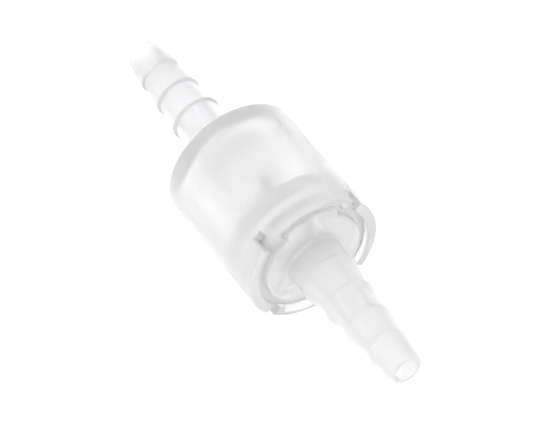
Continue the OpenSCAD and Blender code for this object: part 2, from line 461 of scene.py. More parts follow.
class Nodes:
    """Adds and links nodes in one tree."""

    def __init__(self, tree: bpy.types.NodeTree) -> None:
        """Keeps the tree that nodes are added to."""
        self.tree = tree

    def add(self, kind: str, inputs: dict[str | int, object] | None = None, **settings: object) -> bpy.types.Node:
        """Adds a node.

        Args:
            kind: The node's type name.
            inputs: Values or sockets for its inputs, by name or number.
            **settings: Its properties.

        Returns:
            The new node.
        """
        node = self.tree.nodes.new(kind)
        for name, value in settings.items():
            setattr(node, name, value)
        for name, value in (inputs or {}).items():
            if isinstance(value, bpy.types.NodeSocket):
                self.tree.links.new(value, node.inputs[name])
            else:
                node.inputs[name].default_value = value
        return node

    def math(self, operation: str, first: object, second: object = 0.0) -> bpy.types.NodeSocket:
        """Adds a Math node on two sockets or numbers and returns its result."""
        return self.add("ShaderNodeMath", {0: first, 1: second}, operation=operation).outputs[0]

    def ramp(self, value: object, low: float, high: float, to_low: float = 0.0, to_high: float = 1.0) -> object:
        """Adds a smooth Map Range node and returns its result."""
        inputs = {"Value": value, "From Min": low, "From Max": high, "To Min": to_low, "To Max": to_high}
        return self.add("ShaderNodeMapRange", inputs, interpolation_type="SMOOTHSTEP").outputs[0]

    def mix(self, share: object, first: object, second: object) -> bpy.types.NodeSocket:
        """Mixes two colours and returns the result."""
        node = self.add("ShaderNodeMix", data_type="RGBA")
        for name, value in (("Factor_Float", share), ("A_Color", first), ("B_Color", second)):
            socket = next(s for s in node.inputs if s.identifier == name)
            if isinstance(value, bpy.types.NodeSocket):
                self.tree.links.new(value, socket)
            else:
                socket.default_value = value
        return next(s for s in node.outputs if s.identifier == "Result_Color")


class Effect(Enum):
    """The shared effects, each a shader node group."""

    CLOUDING = "melt_clouding"
    GRAIN = "mould_grain"
    WEAR_AND_SHADE = "edge_wear_and_painted_shade"
    SCUFFS = "handling_scuffs"
    BARB_SHADE = "barb_painted_shade"


def new_group(effect: Effect, inputs: dict[str, float], output: str) -> tuple[Nodes, dict[str, object], object]:
    """Starts a shader node group with number inputs and one number output.

    Args:
        effect: Which effect the group makes.
        inputs: Names and default values of the inputs.
        output: Name of the output.

    Returns:
        The group's nodes, its input sockets by name, and the socket that takes its result.
    """
    tree = bpy.data.node_groups.new(effect.value, "ShaderNodeTree")
    for name, value in inputs.items():
        tree.interface.new_socket(name, in_out="INPUT", socket_type="NodeSocketFloat").default_value = value
    tree.interface.new_socket(output, in_out="OUTPUT", socket_type="NodeSocketFloat")
    nodes = Nodes(tree)
    entry = nodes.add("NodeGroupInput")
    leave = nodes.add("NodeGroupOutput")
    return nodes, {name: entry.outputs[name] for name in inputs}, leave.inputs[output]


def clouding_group() -> bpy.types.NodeTree:
    """Soft flow clouds in the plastic, drawn out along the valve: broad noise from 0 to 1."""
    nodes, entry, result = new_group(Effect.CLOUDING, {"Scale": 160.0, "Contrast": 1.0}, "Mask")
    place = nodes.add("ShaderNodeTexCoord").outputs["Object"]
    drawn = nodes.add("ShaderNodeMapping", {"Vector": place, "Scale": (0.45, 1.0, 1.0)}).outputs[0]
    noise = nodes.add("ShaderNodeTexNoise", {"Vector": drawn, "Scale": entry["Scale"], "Detail": 3.0}).outputs["Fac"]
    spread = nodes.math("MULTIPLY", nodes.math("SUBTRACT", noise, 0.5), entry["Contrast"])
    nodes.tree.links.new(nodes.ramp(spread, -0.3, 0.3), result)
    return nodes.tree


def grain_group() -> bpy.types.NodeTree:
    """Fine texture that the mould leaves: small cells mixed with noise, as a height in metres."""
    nodes, entry, result = new_group(Effect.GRAIN, {"Scale": 5200.0, "Depth": 0.000004}, "Height")
    place = nodes.add("ShaderNodeTexCoord").outputs["Object"]
    noise = nodes.add("ShaderNodeTexNoise", {"Vector": place, "Scale": entry["Scale"], "Detail": 4.0}).outputs["Fac"]
    cell_scale = nodes.math("MULTIPLY", entry["Scale"], 0.4)
    cells = nodes.add("ShaderNodeTexVoronoi", {"Vector": place, "Scale": cell_scale}).outputs["Distance"]
    both = nodes.math("ADD", noise, nodes.math("MULTIPLY", cells, 0.6))
    nodes.tree.links.new(nodes.math("MULTIPLY", both, entry["Depth"]), result)
    return nodes.tree


def wear_and_shade_group() -> bpy.types.NodeTree:
    """Rubbed edges and a painted shade outline: where a rounded normal leaves the true one, broken up by noise."""
    nodes, entry, result = new_group(Effect.WEAR_AND_SHADE, {"Radius": 0.0002, "Scale": 1500.0, "Strength": 1.0}, "Mask")
    rounded = nodes.add("ShaderNodeBevel", {"Radius": entry["Radius"]}, samples=4).outputs[0]
    true_normal = nodes.add("ShaderNodeNewGeometry").outputs["Normal"]
    likeness = nodes.add("ShaderNodeVectorMath", {0: rounded, 1: true_normal}, operation="DOT_PRODUCT").outputs["Value"]
    edge = nodes.ramp(likeness, 0.995, 0.9)
    place = nodes.add("ShaderNodeTexCoord").outputs["Object"]
    noise = nodes.add("ShaderNodeTexNoise", {"Vector": place, "Scale": entry["Scale"], "Detail": 3.0}).outputs["Fac"]
    broken = nodes.math("MULTIPLY", edge, nodes.ramp(noise, 0.35, 0.65))
    nodes.tree.links.new(nodes.math("MULTIPLY", broken, entry["Strength"]), result)
    return nodes.tree


def scuff_group() -> bpy.types.NodeTree:
    """Hair-fine scuffs from handling: thin bands of stretched noise, kept to scattered patches."""
    nodes, entry, result = new_group(Effect.SCUFFS, {"Scale": 900.0, "Strength": 1.0}, "Mask")
    place = nodes.add("ShaderNodeTexCoord").outputs["Object"]
    turn = nodes.add("ShaderNodeMapping", {"Vector": place, "Rotation": (0.3, 0.5, 0.9), "Scale": (0.12, 1, 1)})
    drawn = turn.outputs[0]
    noise = nodes.add("ShaderNodeTexNoise", {"Vector": drawn, "Scale": entry["Scale"], "Detail": 2.0}).outputs["Fac"]
    line = nodes.ramp(nodes.math("ABSOLUTE", nodes.math("SUBTRACT", noise, 0.5)), 0.012, 0.0)
    patch_scale = nodes.math("MULTIPLY", entry["Scale"], 0.2)
    patch = nodes.add("ShaderNodeTexNoise", {"Vector": place, "Scale": patch_scale}).outputs["Fac"]
    kept = nodes.math("MULTIPLY", line, nodes.ramp(patch, 0.52, 0.62))
    nodes.tree.links.new(nodes.math("MULTIPLY", kept, entry["Strength"]), result)
    return nodes.tree


def barb_shade_group() -> bpy.types.NodeTree:
    """How far out along a barb, for the painted shade on the barbs: rises from 0 to 1 past a station on either side of
    the middle.
    """
    nodes, entry, result = new_group(Effect.BARB_SHADE, {"Station": 0.0124, "Blend": 0.0006}, "Mask")
    place = nodes.add("ShaderNodeTexCoord").outputs["Object"]
    x = nodes.add("ShaderNodeSeparateXYZ", {0: place}).outputs["X"]
    past = nodes.math("SUBTRACT", nodes.math("ABSOLUTE", x), entry["Station"])
    nodes.tree.links.new(nodes.ramp(past, 0.0, entry["Blend"]), result)
    return nodes.tree


MAKERS: dict[Effect, Callable[[], bpy.types.NodeTree]] = {
    Effect.CLOUDING: clouding_group,
    Effect.GRAIN: grain_group,
    Effect.WEAR_AND_SHADE: wear_and_shade_group,
    Effect.SCUFFS: scuff_group,
    Effect.BARB_SHADE: barb_shade_group,
}


def effect_of(nodes: Nodes, effect: Effect, **values: float) -> bpy.types.NodeSocket:
    """Places a shared effect in a material.

    Args:
        nodes: The material's nodes.
        effect: Which effect.
        **values: The group's input values by name.

    Returns:
        The effect's result.
    """
    tree = bpy.data.node_groups.get(effect.value) or MAKERS[effect]()
    return nodes.add("ShaderNodeGroup", values, node_tree=tree).outputs[0]


# painted shade: past these stations the barbs' colour darkens towards their tips
TIP_STATION = 0.026  # metres from the middle to where a barb's colour starts to change towards its tip's
TIP_BLEND = 0.012  # metres over which it changes


@dataclass(frozen=True)
class Finish:
    """A moulded, moulded-and-cured or drawn finish on one Principled shader.

    Attributes:
        slot: The record's material slot.
        colour: Main colour.
        cloud: Colour of the flow clouds.
        worn_and_shaded_edge: Colour at the edges: the spring's is lighter, rubbed bright; the translucent mouldings
            have it darker than the rest, a painted shade that draws a narrow dark outline.
        barb_shade: Painted shade on the barbs: a colour darker than the barrel's that holds their tone down in a bright
            surround, or None for one colour all over.
        tip: Deeper painted shade that the barbs reach at their tips, or None for the same as thin.
        roughness: Roughness of the bare surface.
        rough_spread: How much the clouds and scuffs change the roughness.
        grain: Depth of the mould's grain, in mm.
        grain_scale: Grains per metre.
        edge_wear_and_shade: Strength of the edge mask: rubbed edges in the roughness and the colour, and on the
            translucent mouldings a painted shade outline in the colour.
        transmission: Share of light that passes straight through the surface.
        milk: Share of the rest that scatters below the surface.
        depth: How far that light travels, in mm.
        metallic: 1 for metal.
        ior: Index of refraction.
    """

    slot: Slot
    colour: tuple[float, float, float]
    cloud: tuple[float, float, float]
    worn_and_shaded_edge: tuple[float, float, float]
    barb_shade: tuple[float, float, float] | None = None
    tip: tuple[float, float, float] | None = None
    roughness: float = 0.3
    rough_spread: float = 0.08
    grain: float = 0.004
    grain_scale: float = 5200.0
    edge_wear_and_shade: float = 0.5
    transmission: float = 0.0
    milk: float = 0.0
    depth: float = 2.0
    metallic: float = 0.0
    ior: float = 1.49

    def build(self) -> bpy.types.Material:
        """Makes the material, or finds it if it is there."""
        name = f"{self.slot.value}_finish"
        if name in bpy.data.materials:
            return bpy.data.materials[name]
        material = bpy.data.materials.new(name)
        material.use_nodes = True
        nodes = Nodes(material.node_tree)
        shader = material.node_tree.nodes["Principled BSDF"]
        clouds = effect_of(nodes, Effect.CLOUDING)
        edge_wear_and_shade = effect_of(nodes, Effect.WEAR_AND_SHADE, Strength=self.edge_wear_and_shade)
        scuffs = effect_of(nodes, Effect.SCUFFS)
        grain = effect_of(nodes, Effect.GRAIN, Scale=self.grain_scale, Depth=self.grain * MM)
        body = nodes.mix(clouds, (*self.colour, 1), (*self.cloud, 1))
        # painted shade: the barbs take a darker colour than the barrel, deeper still towards their tips
        if self.barb_shade:
            body = nodes.mix(effect_of(nodes, Effect.BARB_SHADE), body, (*self.barb_shade, 1))
        if self.tip:
            body = nodes.mix(effect_of(nodes, Effect.BARB_SHADE, Station=TIP_STATION, Blend=TIP_BLEND), body, (*self.tip, 1))
        links = material.node_tree.links
        # edge colour: rubbed edges, and on the translucent mouldings a painted shade outline
        links.new(nodes.mix(edge_wear_and_shade, body, (*self.worn_and_shaded_edge, 1)), shader.inputs["Base Color"])
        uneven = nodes.math("MULTIPLY", nodes.math("ADD", nodes.math("ADD", clouds, scuffs), edge_wear_and_shade), self.rough_spread)
        links.new(nodes.math("ADD", uneven, self.roughness), shader.inputs["Roughness"])
        height = nodes.math("SUBTRACT", grain, nodes.math("MULTIPLY", scuffs, 2 * self.grain * MM))
        bump = nodes.add("ShaderNodeBump", {"Height": height, "Distance": 1.0, "Strength": 1.0})
        links.new(bump.outputs[0], shader.inputs["Normal"])
        shader.inputs["Metallic"].default_value = self.metallic
        shader.inputs["IOR"].default_value = self.ior
        shader.inputs["Transmission Weight"].default_value = self.transmission
        shader.inputs["Subsurface Weight"].default_value = self.milk
        shader.inputs["Subsurface Radius"].default_value = (1.0, 1.0, 1.0)
        shader.inputs["Subsurface Scale"].default_value = self.depth * MM
        return material


# painted shade in both translucent mouldings below: darker barb and tip colours on the barbs, and a dark edge colour
# that draws an outline
BODY_FINISH = Finish(
    Slot.BODY, (0.997, 0.989, 0.991), (0.986, 0.982, 0.974), (0.8, 0.79, 0.8),
    barb_shade=(0.872, 0.863, 0.873), tip=(0.79, 0.785, 0.795),
    roughness=0.32, transmission=0.74, milk=1.0, depth=2.0, edge_wear_and_shade=1.0,
)
CAP_FINISH = Finish(
    Slot.CAP, (0.996, 0.996, 0.997), (0.986, 0.986, 0.988), (0.8, 0.79, 0.8),
    barb_shade=(0.878, 0.868, 0.875), tip=(0.86, 0.853, 0.86),
    roughness=0.32, transmission=0.6, milk=1.0, depth=2.0, edge_wear_and_shade=1.0,
)
POPPET_FINISH = Finish(
    Slot.POPPET, (0.98, 0.98, 0.975), (0.96, 0.96, 0.955), (0.95, 0.95, 0.94),
    roughness=0.42, milk=1.0, depth=1.0,
)
SEAL_FINISH = Finish(
    Slot.SEAL, (0.96, 0.96, 0.95), (0.94, 0.94, 0.93), (0.9, 0.9, 0.89),
    roughness=0.5, milk=1.0, depth=1.0, ior=1.41,
)
SPRING_FINISH = Finish(
    Slot.SPRING, (0.72, 0.73, 0.75), (0.62, 0.63, 0.65), (0.8, 0.81, 0.82),
    roughness=0.24, grain=0.001, grain_scale=9000.0, metallic=1.0,
)


# ------------------------------------------------------------------ sub-assemblies

@dataclass
class InletBody:
    """Barrel, seat, inlet barb and the four snap fingers: one moulding.

    Attributes:
        barrel_length: Length of the barrel.
        inlet_r: Outside radius at the closed end.
        outlet_r: Outside radius at the open end.
        chamber_r: Inside radius.
        end_wall: Thickness of the closed end.
        rim_rounding: Rounding of the closed end's edge.
        open_rounding: Rounding of the open end's edge.
        seat_height: Height of the seat above the end wall.
        seat_r: Outside radius of the seat.
        seat_cone: Width of the cone that the seal closes on.
        port_r: Radius of the port through the seat.
        port_depth: Depth of the port.
        port_taper: Length of the taper from the port to the passage.
        slot_depth: Depth of the slots.
        slot_angle: Angle that a slot covers.
        slot_middles: Where the slots are.
        slot_rounding: Rounding of the slots' edges.
        hook_length: Length of a hook.
        hook_r: Radius inside the hooks.
        groove_r: Radius of the groove behind them.
        groove_back: Station of the groove's back.
        pocket_r: Outer radius of the pockets.
        pocket_angle: Angle that a pocket covers.
        pocket_middles: Where the pockets are.
        pocket_rounding: Rounding of a pocket's ends.
        top_r: Where a finger's outline changes from outside to inside, on its flat end.
        ledge_r: Where the outlines with a hook and through a pocket meet again.
        fine: Spacing of points along a finger.
        pocket_spacing: Spacing of points along a pocket.
        arrow_columns: Columns across the arrow.
        arrow_margin: Finely spaced run before and after the arrow.
        arrow: The flow arrow.
    """

    barrel_length: float = 24.3
    inlet_r: float = 11.2
    outlet_r: float = 11.45
    chamber_r: float = 9.35
    end_wall: float = 2.2
    rim_rounding: float = 0.55
    open_rounding: float = 0.5
    seat_height: float = 2.4
    seat_r: float = 5.6
    seat_cone: float = 0.7
    port_r: float = 3.6
    port_depth: float = 5.6
    port_taper: float = 1.4
    slot_depth: float = 3.0
    slot_angle: float = 9.0
    slot_middles: tuple[float, ...] = (45.0, 135.0, 225.0, 315.0)
    slot_rounding: float = 0.11
    hook_length: float = 1.05
    hook_r: float = 9.75
    groove_r: float = 10.4
    groove_back: float = 9.4
    pocket_r: float = 10.6
    pocket_angle: float = 64.0
    pocket_middles: tuple[float, ...] = (90.0, 270.0)
    pocket_rounding: float = 0.85
    top_r: float = 10.9
    ledge_r: float = 9.9
    fine: float = 0.3
    pocket_spacing: float = 0.05
    arrow_columns: int = 27
    arrow_margin: float = 0.25
    arrow: FlowArrow = field(default_factory=FlowArrow)

    def __post_init__(self) -> None:
        """Takes the stations of the barrel's ends and of the tip from the CAD model."""
        low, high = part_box("inlet_body")
        self.tip_x = low[0] / MM
        self.open_x = high[0] / MM
        self.closed_x = self.open_x - self.barrel_length
        self.slot_x = self.open_x - self.slot_depth
        self.barb = HoseBarb(self.closed_x - self.tip_x)

    def barrel_r(self, x: float) -> float:
        """Outside radius of the barrel, which widens evenly towards the open end."""
        return self.inlet_r + (self.outlet_r - self.inlet_r) * (x - self.closed_x) / self.barrel_length

    def skirt_lines(self) -> tuple[np.ndarray, np.ndarray]:
        """Outlines of a finger from the slot's bottom outside to the slot's bottom inside.

        Returns:
            The outline with a hook and the outline through a pocket, matched point for point.
        """
        fine = self.fine
        outside = outline([
            Corner(self.slot_x, self.barrel_r(self.slot_x), spacing=fine),
            Corner(self.open_x, self.outlet_r, self.open_rounding, fine),
            Corner(self.open_x, self.top_r),
        ])
        hook = outline([
            Corner(self.open_x, self.top_r, spacing=fine),
            Corner(self.open_x, self.hook_r, 0.28, fine),
            Corner(self.open_x - self.hook_length, self.hook_r, 0.14, fine),
            Corner(self.open_x - self.hook_length, self.groove_r, 0.14, fine),
            Corner(self.groove_back, self.groove_r, 0.14, fine),
            Corner(self.groove_back, self.ledge_r),
        ])
        pocket = outline([
            Corner(self.open_x, self.top_r, spacing=self.pocket_spacing),
            Corner(self.open_x, self.pocket_r, 0.18, self.pocket_spacing),
            Corner(self.groove_back, self.pocket_r, 0.3, self.pocket_spacing),
            Corner(self.groove_back, self.ledge_r),
        ])
        inside = outline([
            Corner(self.groove_back, self.ledge_r),
            Corner(self.groove_back, self.chamber_r, 0.1),
            Corner(self.slot_x, self.chamber_r),
        ])
        parts = [outside[:-1], hook, inside[1:]]
        return np.vstack(parts), np.vstack([parts[0], matched(pocket, hook), parts[2]])

    def main_line(self) -> np.ndarray:
        """Outline from the slot's bottom inside, through the seat and around the barb, to its bottom outside."""
        chamber_x = self.closed_x + self.end_wall
        seat_x = chamber_x + self.seat_height
        port_x = seat_x - self.port_depth
        shares = np.array([0.08, 0.3, 0.6, 1.0]) * self.slot_rounding
        edge = [self.slot_x - step for step in shares]
        arrow, margin = self.arrow, self.arrow_margin
        return outline([
            Corner(self.slot_x, self.chamber_r),
            *(Corner(x, self.chamber_r, spacing=1.2) for x in edge),
            Corner(chamber_x, self.chamber_r, 0.6),
            Corner(chamber_x, self.seat_r + 0.3, 0.3),
            Corner(seat_x, self.seat_r, 0.2),
            Corner(seat_x, self.port_r + self.seat_cone, 0.08),
            Corner(seat_x - self.seat_cone, self.port_r, 0.2),
            Corner(port_x, self.port_r, 0.3),
            Corner(port_x - self.port_taper, self.barb.bore_r, 0.4, 1.5),
            *self.barb.corners(self.tip_x, 1),
            Corner(self.closed_x, self.inlet_r, self.rim_rounding),
            Corner(arrow.tail - margin, self.barrel_r(arrow.tail - margin), spacing=0.15),
            Corner(arrow.point + margin, self.barrel_r(arrow.point + margin), spacing=1.2),
            *(Corner(x, self.barrel_r(x)) for x in edge[::-1]),
            Corner(self.slot_x, self.barrel_r(self.slot_x)),
        ])

    def angles(self) -> np.ndarray:
        """Columns at the slots' sides, the pockets' ends, the arrow and the parting line."""
        slot_half, pocket_half = self.slot_angle / 2, self.pocket_angle / 2
        degree = math.degrees(1 / self.outlet_r)
        fillet = slot_half + np.array([0, 0.08, 0.3, 0.6, 1.0, 2.5]) * self.slot_rounding * degree
        ends = pocket_half - END_SHARES * self.pocket_rounding * degree
        extras = both_sides(self.slot_middles, fillet) + both_sides(self.pocket_middles, ends)
        half = (self.arrow.head_half + self.arrow.slope) * degree
        extras.append(self.arrow.angle + np.linspace(-half, half, self.arrow_columns))
        extras += [middle + SEAM_COLUMNS for middle in SEAM_MIDDLES]
        return columns(COLUMN_STEP, extras)

    def slot_inset(self, points: np.ndarray, angles: np.ndarray) -> np.ndarray:
        """How far the surface is let in to round the slots' edges.

        On the unrolled barrel, d is the distance to the nearest slot. Within the rounding, the
        surface drops by rounding * (1 - eased(d)), so it meets the slot's side at a right angle.

        Args:
            points: Outlines, shaped (columns, points, 2).
            angles: The columns' angles in degrees.

        Returns:
            The depth at each point.
        """
        below = np.maximum(self.slot_x - points[..., 0], 0)
        turns = nearest_turn(angles, self.slot_middles)
        beside = np.radians(np.maximum(turns - self.slot_angle / 2, 0))[:, None] * self.outlet_r
        return self.slot_rounding * (1 - eased(np.hypot(below, beside), self.slot_rounding))

    def build(self) -> bpy.types.Object:
        """Makes the moulding: a turned outline whose skirt is left out where the slots are."""
        angles = self.angles()
        hooked, pocketed = self.skirt_lines()
        main = self.main_line()[1:-1]
        turns = nearest_turn(angles, self.pocket_middles)
        inwards = np.radians(self.pocket_angle / 2 - turns) * self.outlet_r
        share = eased(inwards, self.pocket_rounding)[:, None, None]
        skirt = (1 - share) * hooked + share * pocketed
        points = np.concatenate([skirt, np.broadcast_to(main, (len(angles), *main.shape))], axis=1)
        x, r = points[..., 0], points[..., 1]
        around = np.radians(turned_from(angles, self.arrow.angle))[:, None] * r
        relief = np.where(r > self.chamber_r + 1, self.arrow.relief(x, around), 0)
        seam = self.barb.seam(points, angles, self.tip_x, self.closed_x - self.barb.root_rounding)
        lift = relief + seam - self.slot_inset(points, angles)
        points = points + lift[..., None] * outward(points)
        last, count = hooked.shape[0] - 1, points.shape[1]
        pairs = ring_pairs(len(angles))
        middles = angles + (np.roll(angles, -1) - angles) % FULL_TURN / 2
        slotted = nearest_turn(middles, self.slot_middles) < self.slot_angle / 2
        skirt_rows = np.arange(last)
        main_rows = np.arange(last, count)
        faces = quads(pairs, main_rows, count, (main_rows + 1) % count).tolist()
        faces += quads(pairs[~slotted], skirt_rows, count, skirt_rows + 1).tolist()
        faces += quads(pairs[slotted], np.array([0]), count, np.array([last])).tolist()
        rows = np.arange(last + 1)
        for middle in self.slot_middles:
            start, end = (np.abs(turned_from(angles, middle + side * self.slot_angle / 2)).argmin() for side in (-1, 1))
            faces.append((start * count + rows).tolist())
            faces.append((end * count + rows[::-1]).tolist())
        piece = make_piece("inlet_moulding", turned(points, angles), faces)
        fit_out(piece, "inlet_body", "housing", BODY_FINISH)
        return piece


@dataclass
class OutletCap:
    """Cap with its flange, boss, key, plug and barb: one moulding.

    Attributes:
        flange_r: Radius of the flange.
        flange_face: Station of the flange's outer face.
        flange_thickness: Thickness of the flange.
        boss_r: Radius of the raised middle.
        boss_height: Its height.
        key_r: Reach of the raised key.
        key_angle: Angle that the key covers.
        key_middle: Where the key is.
        key_rounding: Rounding of the key's ends.
        plug_r: Radius of the plug.
        plug_end: Station of the plug's end.
        groove_x: Station of the seal's groove.
        groove_r: Radius of its floor.
        groove_width: Its width.
        cup_r: Inside radius of the cap.
        wall: Thickness between the cup and the boss's face.
        ring_r: Inside radius of the spring's ring.
        ring_wall: Its wall.
        ring_height: Its height.
        ribs: Number of ribs.
        rib_angle: Angle that a rib covers at its widest.
        rib_flank: Angle over which a rib's side rises.
    """

    flange_r: float = 10.15
    flange_face: float = 11.05
    flange_thickness: float = 1.5
    boss_r: float = 8.35
    boss_height: float = 1.25
    key_r: float = 9.65
    key_angle: float = 62.0
    key_middle: float = 90.0
    key_rounding: float = 0.9
    plug_r: float = 9.27
    plug_end: float = 3.95
    groove_x: float = 7.45
    groove_r: float = 8.0
    groove_width: float = 2.0
    cup_r: float = 7.25
    wall: float = 2.1
    ring_r: float = 3.625
    ring_wall: float = 0.8
    ring_height: float = 1.3
    ribs: int = 6
    rib_angle: float = 9.0
    rib_flank: float = 0.9

    def __post_init__(self) -> None:
        """Takes the tip from the CAD model and works out the other stations."""
        self.tip_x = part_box("outlet_cap")[1][0] / MM
        self.root_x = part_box("inlet_body")[1][0] / MM
        self.boss_face = self.flange_face + self.boss_height
        self.floor_x = self.boss_face - self.wall
        self.barb = HoseBarb(self.tip_x - self.root_x)

    def line(self) -> np.ndarray:
        """Closed outline of the cap between its ribs and away from the key."""
        back = self.flange_face - self.flange_thickness
        low, high = self.groove_x - self.groove_width / 2, self.groove_x + self.groove_width / 2
        ring_x, ring_out = self.floor_x - self.ring_height, self.ring_r + self.ring_wall
        barb = self.barb.corners(self.tip_x, -1)[:-1][::-1]
        return outline([
            Corner(self.floor_x + 0.3, self.barb.bore_r),
            Corner(self.floor_x, self.barb.bore_r, 0.15),
            Corner(self.floor_x, self.ring_r, 0.15),
            Corner(ring_x, self.ring_r, 0.12),
            Corner(ring_x, ring_out, 0.12),
            Corner(self.floor_x, ring_out, 0.15),
            Corner(self.floor_x, self.cup_r, 0.4),
            Corner(self.plug_end, self.cup_r, 0.15),
            Corner(self.plug_end, self.plug_r, 0.4),
            Corner(low, self.plug_r, 0.12),
            Corner(low, self.groove_r, 0.15),
            Corner(high, self.groove_r, 0.15),
            Corner(high, self.plug_r, 0.12),
            Corner(back, self.plug_r, 0.1),
            Corner(back, self.flange_r, 0.3),
            Corner(self.flange_face, self.flange_r, 0.12),
            Corner(self.flange_face, self.boss_r, 0.3, 0.4),
            Corner(self.boss_face, self.boss_r, 0.35, 0.4),
            Corner(self.boss_face, self.barb.neck_r, self.barb.root_rounding),
            *barb,
            Corner(self.floor_x + 0.3, self.barb.bore_r, spacing=1.5),
        ])[:-1]

    def keyed(self, line: np.ndarray) -> np.ndarray:
        """Outline through the key: the boss's edge is moved out to the key's, and the faces stretch with it."""
        x, r = line.T
        fixed = self.boss_r - 2.0
        moved = np.interp(r, [fixed, self.boss_r, self.flange_r], [fixed, self.key_r, self.flange_r])
        on_face = (x > self.flange_face - 0.05) & (r > fixed) & (r < self.flange_r)
        return np.stack([x, np.where(on_face, moved, r)], axis=1)

    def ribbed(self, line: np.ndarray) -> np.ndarray:
        """Outline through a rib: the cup between the spring's ring and the plug's end becomes one straight run."""
        ring = (self.floor_x - self.ring_height, self.ring_r + self.ring_wall)
        mouth = (self.plug_end, self.cup_r)
        start, end = (int(np.linalg.norm(line - place, axis=1).argmin()) for place in (ring, mouth))
        foot = np.array([self.plug_end, ring[1] + 0.2])
        straight = np.array([line[start], foot, line[end]])
        filled = line.copy()
        filled[start:end + 1] = matched(straight, line[start:end + 1])
        return filled

    def build(self) -> bpy.types.Object:
        """Makes the moulding: each column is the plain outline blended towards the key's and the rib's."""
        key_half, rib_half = self.key_angle / 2, self.rib_angle / 2
        degree = math.degrees(1 / self.key_r)
        ends = key_half - END_SHARES * self.key_rounding * degree
        rib_middles = [(i + 0.5) * FULL_TURN / self.ribs for i in range(self.ribs)]
        rib_steps = rib_half - np.array([0, 0.1, 0.4, self.rib_flank])
        extras = both_sides([self.key_middle], ends) + both_sides(rib_middles, rib_steps)
        extras += [middle + SEAM_COLUMNS for middle in SEAM_MIDDLES]
        angles = columns(COLUMN_STEP, extras)
        plain = self.line()
        inwards = np.radians(key_half - np.abs(turned_from(angles, self.key_middle))) * self.key_r
        key_share = eased(inwards, self.key_rounding)[:, None, None]
        turns = nearest_turn(angles, rib_middles)
        rib_share = eased(rib_half - turns, self.rib_flank)[:, None, None]
        points = plain + key_share * (self.keyed(plain) - plain) + rib_share * (self.ribbed(plain) - plain)
        seam = self.barb.seam(points, angles, self.root_x + self.barb.root_rounding, self.tip_x)
        points = points + seam[..., None] * outward(points)
        piece = revolve("outlet_moulding", points, angles)
        fit_out(piece, "outlet_cap", "housing", CAP_FINISH)
        return piece


@dataclass
class Seals:
    """The two O-rings.

    Attributes:
        squeezed_half: Half the thickness of the joint's ring between its groove and the chamber.
        section_step: Angle between points of a section, in degrees.
        ring_step: Angle between sections, in degrees.
    """

    squeezed_half: float = 0.67
    section_step: float = 5.0
    ring_step: float = 2.5

    def ring(self, name: str, node: str, body: str) -> bpy.types.Object:
        """Makes a ring that fills its CAD node's box.

        The section is a rounded square, |u|^p + |v|^p = 1, with p worked out so that a ring that is
        squeezed flatter than it is long gets flatter sides.

        Args:
            name: The piece's name.
            node: The CAD node that it stands for.
            body: The body that it rides on.

        Returns:
            The new object.
        """
        low, high = (np.array(corner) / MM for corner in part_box(node))
        half_x = (high[0] - low[0]) / 2
        outer = high[2]
        half_r = self.squeezed_half if node == "joint_seal" else half_x
        power = 2.0 * half_x / half_r
        turn = np.radians(np.arange(0, FULL_TURN, self.section_step))
        u = np.sign(np.cos(turn)) * np.abs(np.cos(turn)) ** (2 / power)
        v = np.sign(np.sin(turn)) * np.abs(np.sin(turn)) ** (2 / power)
        line = np.stack([(low[0] + high[0]) / 2 + half_x * v, outer - half_r + half_r * u], axis=1)
        angles = np.arange(0, FULL_TURN, self.ring_step)
        points = np.broadcast_to(line, (len(angles), *line.shape))
        piece = revolve(name, points, angles)
        fit_out(piece, node, body, SEAL_FINISH)
        return piece

    def build(self) -> None:
        """Makes both rings."""
        self.ring("poppet_o_ring", "poppet_seal", "poppet")
        self.ring("joint_o_ring", "joint_seal", "housing")


